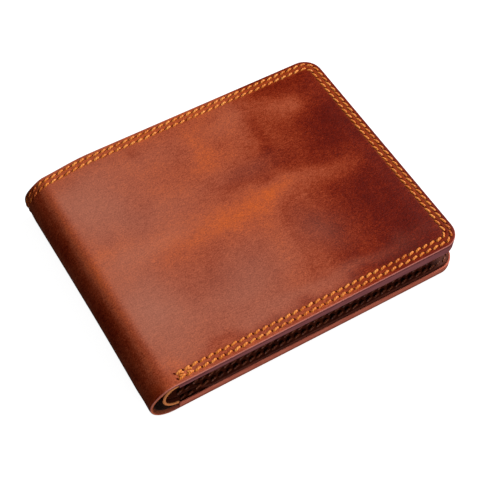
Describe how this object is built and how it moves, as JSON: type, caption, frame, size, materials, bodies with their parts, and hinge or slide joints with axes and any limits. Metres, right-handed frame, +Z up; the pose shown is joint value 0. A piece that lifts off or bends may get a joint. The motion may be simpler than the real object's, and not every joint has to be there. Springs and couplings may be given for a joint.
{
  "type": "trifold wallet",
  "caption": "Folding leather wallet: one stitched shell round a soft spine, a swing leaf with a clear window between the covers, card pockets and a bill compartment.",
  "frame": {"origin": "centre of the bounding box's bottom face, on the surface the closed wallet lies on", "axes": "+X from the folded spine to the open edge, +Y from the pocket edge to the edge where the bill compartment opens, +Z up from the back cover to the front cover"},
  "size_m": [0.115, 0.092, 0.016],
  "materials": {
    "cover_leather": "waxed pull-up leather, satin, mottled chestnut to orange brown",
    "inside_leather": "smooth tan leather, satin",
    "lining": "matt dark brown twill lining",
    "thread": "waxed golden orange thread",
    "window_film": "clear gloss film"
  },
  "bodies": {
    "back_leaf": {"back_cover_leather": "cover_leather", "back_cover_lining": "lining", "back_bill_divider": "inside_leather", "back_card_pocket_1": "inside_leather", "back_card_pocket_2": "inside_leather", "back_card_pocket_3": "inside_leather", "back_thread_outer": "thread", "back_thread_inner": "thread", "flap_hinge_strip_lower": "inside_leather"},
    "spine_strip_1": {"spine_leather_1": "cover_leather", "spine_lining_1": "lining", "spine_divider_1": "inside_leather", "spine_thread_outer_1": "thread", "spine_thread_inner_1": "thread"},
    "spine_strip_2": {"spine_leather_2": "cover_leather", "spine_lining_2": "lining", "spine_divider_2": "inside_leather", "spine_thread_outer_2": "thread", "spine_thread_inner_2": "thread"},
    "front_leaf": {"front_cover_leather": "cover_leather", "front_cover_lining": "lining", "front_bill_divider": "inside_leather", "front_card_pocket_1": "inside_leather", "front_card_pocket_2": "inside_leather", "front_card_pocket_3": "inside_leather", "front_thread_outer": "thread", "front_thread_inner": "thread"},
    "flap": {"flap_backing": "cover_leather", "flap_frame": "cover_leather", "flap_window": "window_film", "flap_card_pocket_1": "inside_leather", "flap_card_pocket_2": "inside_leather", "flap_hinge_strip_upper": "inside_leather", "flap_thread": "thread"}
  },
  "joints": [
    {"name": "spine_bend_1", "type": "hinge", "parent": "back_leaf", "child": "spine_strip_1", "pos_m": [-0.0535, 0, 0.00107], "axis": [0, -1, 0], "range_deg": [0, 60]},
    {"name": "spine_bend_2", "type": "hinge", "parent": "spine_strip_1", "child": "spine_strip_2", "pos_m": [-0.0575, 0, 0.008], "axis": [0, -1, 0], "range_deg": [0, 60]},
    {"name": "spine_bend_3", "type": "hinge", "parent": "spine_strip_2", "child": "front_leaf", "pos_m": [-0.0535, 0, 0.01493], "axis": [0, -1, 0], "range_deg": [0, 60]},
    {"name": "flap_hinge", "type": "hinge", "parent": "back_leaf", "child": "flap", "pos_m": [-0.04775, 0, 0.00555], "axis": [0, -1, 0], "range_deg": [0, 90]}
  ],
  "couplings": [
    {"joint": "spine_bend_2", "follows": "spine_bend_1", "ratio": 1},
    {"joint": "spine_bend_3", "follows": "spine_bend_1", "ratio": 1},
    {"joint": "flap_hinge", "follows": "spine_bend_1", "ratio": 1.5}
  ]
}
